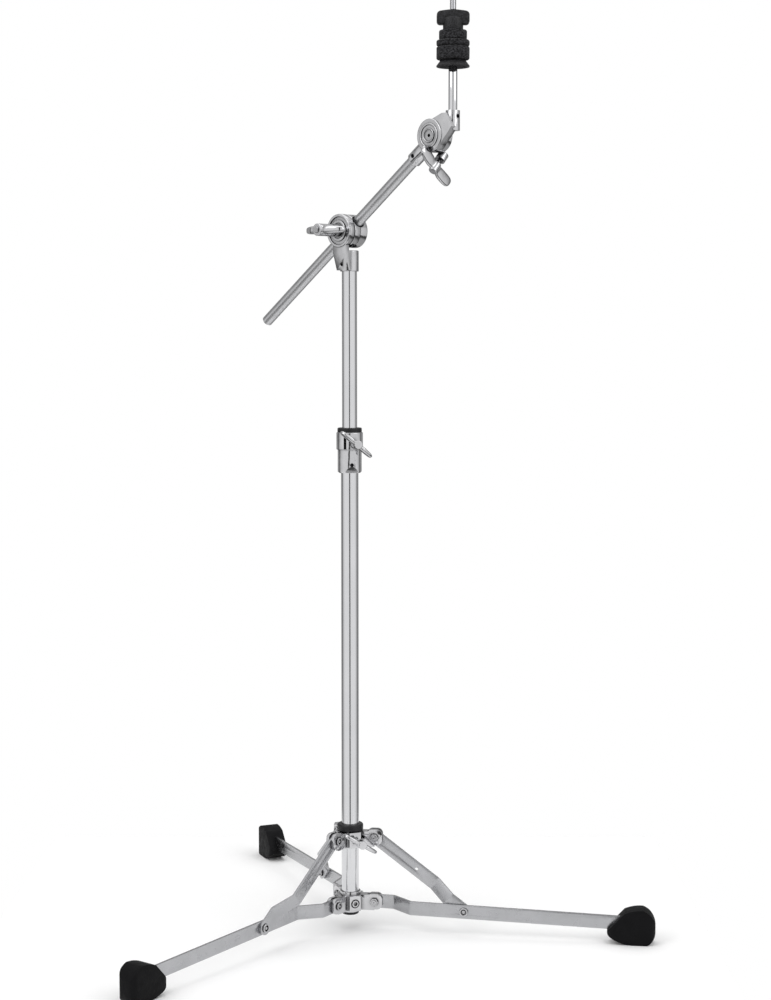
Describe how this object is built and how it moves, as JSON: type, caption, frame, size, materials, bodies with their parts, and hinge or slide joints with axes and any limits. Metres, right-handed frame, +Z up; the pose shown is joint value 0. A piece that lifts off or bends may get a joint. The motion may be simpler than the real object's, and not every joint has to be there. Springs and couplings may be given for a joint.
{
  "type": "cymbal boom stand",
  "caption": "Folding tripod stand with a telescopic column, a tilting boom arm in a wing nut clamp, a tilter and a felted post for one cymbal.",
  "frame": {"origin": "on the floor, below the axis of the column", "axes": "+Z up along the column; the three flat-bar legs spread round Z at -7, 113 and -127 degrees from +X; the boom rises towards +X and -Y (azimuth -45 degrees)"},
  "size_m": [0.6465, 0.6749, 1.1645],
  "materials": {
    "chrome_tube": "polished chrome plate on drawn steel tube",
    "chrome_bar": "chrome plate on rolled flat bar, slightly satin",
    "chrome_casting": "chrome plate on die casting",
    "chrome_screw": "chrome plate on turned steel",
    "black_screw": "black oxide steel",
    "black_rubber": "moulded rubber",
    "black_nylon": "moulded nylon",
    "black_abs": "moulded ABS",
    "dark_felt": "pressed wool felt",
    "steel_wear": "plain steel"
  },
  "bodies": {
    "base": {"lower_tube": "chrome_tube", "tube_end_plug": "black_nylon", "leg_collar": "chrome_casting", "leg_collar_screw": "chrome_screw", "leg_pivot_bolts": "chrome_screw", "leg_pivot_nuts": "chrome_screw", "height_clamp": "chrome_casting", "height_bush": "black_nylon", "height_clamp_screw": "black_screw"},
    "leg_assembly_1": {"leg_1": "chrome_bar", "foot_1": "black_rubber", "leg_rivet_1": "chrome_screw"},
    "leg_assembly_2": {"leg_2": "chrome_bar", "foot_2": "black_rubber", "leg_rivet_2": "chrome_screw"},
    "leg_assembly_3": {"leg_3": "chrome_bar", "foot_3": "black_rubber", "leg_rivet_3": "chrome_screw"},
    "collar": {"slide_collar": "chrome_casting", "collar_bush": "black_nylon", "brace_pivot_bolts": "chrome_screw", "brace_pivot_nuts": "chrome_screw"},
    "brace_assembly_1": {"brace_1": "chrome_bar", "brace_rivet_1": "chrome_screw"},
    "brace_assembly_2": {"brace_2": "chrome_bar", "brace_rivet_2": "chrome_screw"},
    "brace_assembly_3": {"brace_3": "chrome_bar", "brace_rivet_3": "chrome_screw"},
    "collar_wing": {"collar_wing_bolt": "chrome_casting"},
    "height_wing": {"height_wing_bolt": "chrome_casting"},
    "tube_guide": {"tube_guide_bush": "black_nylon"},
    "column": {"upper_tube": "chrome_tube", "boom_bracket": "chrome_casting", "bracket_screw": "black_screw", "clamp_washer": "chrome_screw"},
    "boom_clamp": {"boom_eye_bolt": "chrome_screw", "boom_clamp_front": "chrome_casting", "boom_clamp_rear": "chrome_casting"},
    "boom_wing": {"boom_wing_nut": "chrome_casting"},
    "boom": {"boom_rod": "chrome_tube"},
    "tilter_arm": {"tilter_base": "chrome_casting", "tilter_base_screw": "black_screw", "tilter_brake_shoe": "steel_wear"},
    "tilter_wing": {"tilter_wing_bolt": "chrome_casting"},
    "tilter_top": {"tilter_head": "chrome_casting", "tilter_pivot_bolt": "chrome_screw", "tilter_pivot_nut": "chrome_screw", "tilter_head_screw": "black_screw", "cymbal_post": "chrome_tube", "cymbal_seat": "black_abs", "cymbal_sleeve": "black_nylon", "lower_felt": "dark_felt"},
    "clamp_felts": {"upper_felt": "dark_felt", "small_felt": "dark_felt"},
    "post_nut": {"cymbal_nut": "black_abs"}
  },
  "joints": [
    {"name": "leg_fold_1", "type": "hinge", "parent": "base", "child": "leg_assembly_1", "pos_m": [0.03176, -0.0039, 0.036], "axis": [-0.1219, -0.9925, 0], "range_deg": [0, 84]},
    {"name": "leg_fold_2", "type": "hinge", "parent": "base", "child": "leg_assembly_2", "pos_m": [-0.0125, 0.02946, 0.036], "axis": [0.9205, 0.3907, 0], "range_deg": [0, 84]},
    {"name": "leg_fold_3", "type": "hinge", "parent": "base", "child": "leg_assembly_3", "pos_m": [-0.01926, -0.02556, 0.036], "axis": [-0.7986, 0.6018, 0], "range_deg": [0, 84]},
    {"name": "collar_slide", "type": "slide", "parent": "base", "child": "collar", "axis": [0, 0, 1], "range_m": [0, 0.17741]},
    {"name": "brace_swing_1", "type": "hinge", "parent": "collar", "child": "brace_assembly_1", "pos_m": [0.03176, -0.0039, 0.1206], "axis": [-0.1219, -0.9925, 0], "range_deg": [-46.72, 0]},
    {"name": "brace_swing_2", "type": "hinge", "parent": "collar", "child": "brace_assembly_2", "pos_m": [-0.0125, 0.02946, 0.1206], "axis": [0.9205, 0.3907, 0], "range_deg": [-46.72, 0]},
    {"name": "brace_swing_3", "type": "hinge", "parent": "collar", "child": "brace_assembly_3", "pos_m": [-0.01926, -0.02556, 0.1206], "axis": [-0.7986, 0.6018, 0], "range_deg": [-46.72, 0]},
    {"name": "collar_wing_turn", "type": "hinge", "parent": "collar", "child": "collar_wing", "pos_m": [0.01446, -0.03406, 0.118], "axis": [0.3907, -0.9205, 0], "range_deg": [0, 360]},
    {"name": "height_wing_turn", "type": "hinge", "parent": "base", "child": "height_wing", "pos_m": [0.00958, -0.02631, 0.62767], "axis": [0.342, -0.9397, 0], "range_deg": [0, 360]},
    {"name": "height_slide", "type": "slide", "parent": "base", "child": "tube_guide", "axis": [0, 0, 1], "range_m": [-0.19, 0.185]},
    {"name": "column_swivel", "type": "hinge", "parent": "tube_guide", "child": "column", "pos_m": [0, 0, 0.7], "axis": [0, 0, 1], "continuous": true},
    {"name": "boom_tilt", "type": "hinge", "parent": "column", "child": "boom_clamp", "pos_m": [0, 0, 0.895], "axis": [-0.7071, -0.7071, 0], "range_deg": [-83, 11]},
    {"name": "boom_wing_turn", "type": "hinge", "parent": "boom_clamp", "child": "boom_wing", "pos_m": [-0.03182, -0.03182, 0.895], "axis": [-0.7071, -0.7071, 0], "range_deg": [0, 360]},
    {"name": "boom_slide", "type": "slide", "parent": "boom_clamp", "child": "boom", "axis": [0.5749, -0.5749, 0.5821], "range_m": [-0.1, 0.165]},
    {"name": "boom_roll", "type": "hinge", "parent": "boom", "child": "tilter_arm", "pos_m": [0.10637, -0.10637, 1.00269], "axis": [0.5749, -0.5749, 0.5821], "continuous": true},
    {"name": "tilter_wing_turn", "type": "hinge", "parent": "tilter_arm", "child": "tilter_wing", "pos_m": [0.10424, -0.10849, 0.96419], "axis": [-0.4731, -0.4731, -0.7431], "range_deg": [0, 360]},
    {"name": "tilter_tilt", "type": "hinge", "parent": "tilter_arm", "child": "tilter_top", "pos_m": [0.10637, -0.10637, 1.00269], "axis": [-0.7071, -0.7071, 0], "range_deg": [-45, 75]},
    {"name": "felt_lift", "type": "slide", "parent": "tilter_top", "child": "clamp_felts", "axis": [0, 0, 1], "range_m": [0, 0.012]},
    {"name": "post_nut_turn", "type": "hinge", "parent": "clamp_felts", "child": "post_nut", "pos_m": [0.12553, -0.12553, 1.13509], "axis": [0, 0, 1], "range_deg": [0, 360]}
  ],
  "couplings": [
    {"joint": "leg_fold_2", "follows": "leg_fold_1", "ratio": 1},
    {"joint": "leg_fold_3", "follows": "leg_fold_1", "ratio": 1},
    {"joint": "collar_slide", "follows": "leg_fold_1", "m_per_rad": 0.12087},
    {"joint": "brace_swing_1", "follows": "leg_fold_1", "ratio": -0.55386},
    {"joint": "brace_swing_2", "follows": "leg_fold_1", "ratio": -0.55386},
    {"joint": "brace_swing_3", "follows": "leg_fold_1", "ratio": -0.55386}
  ]
}
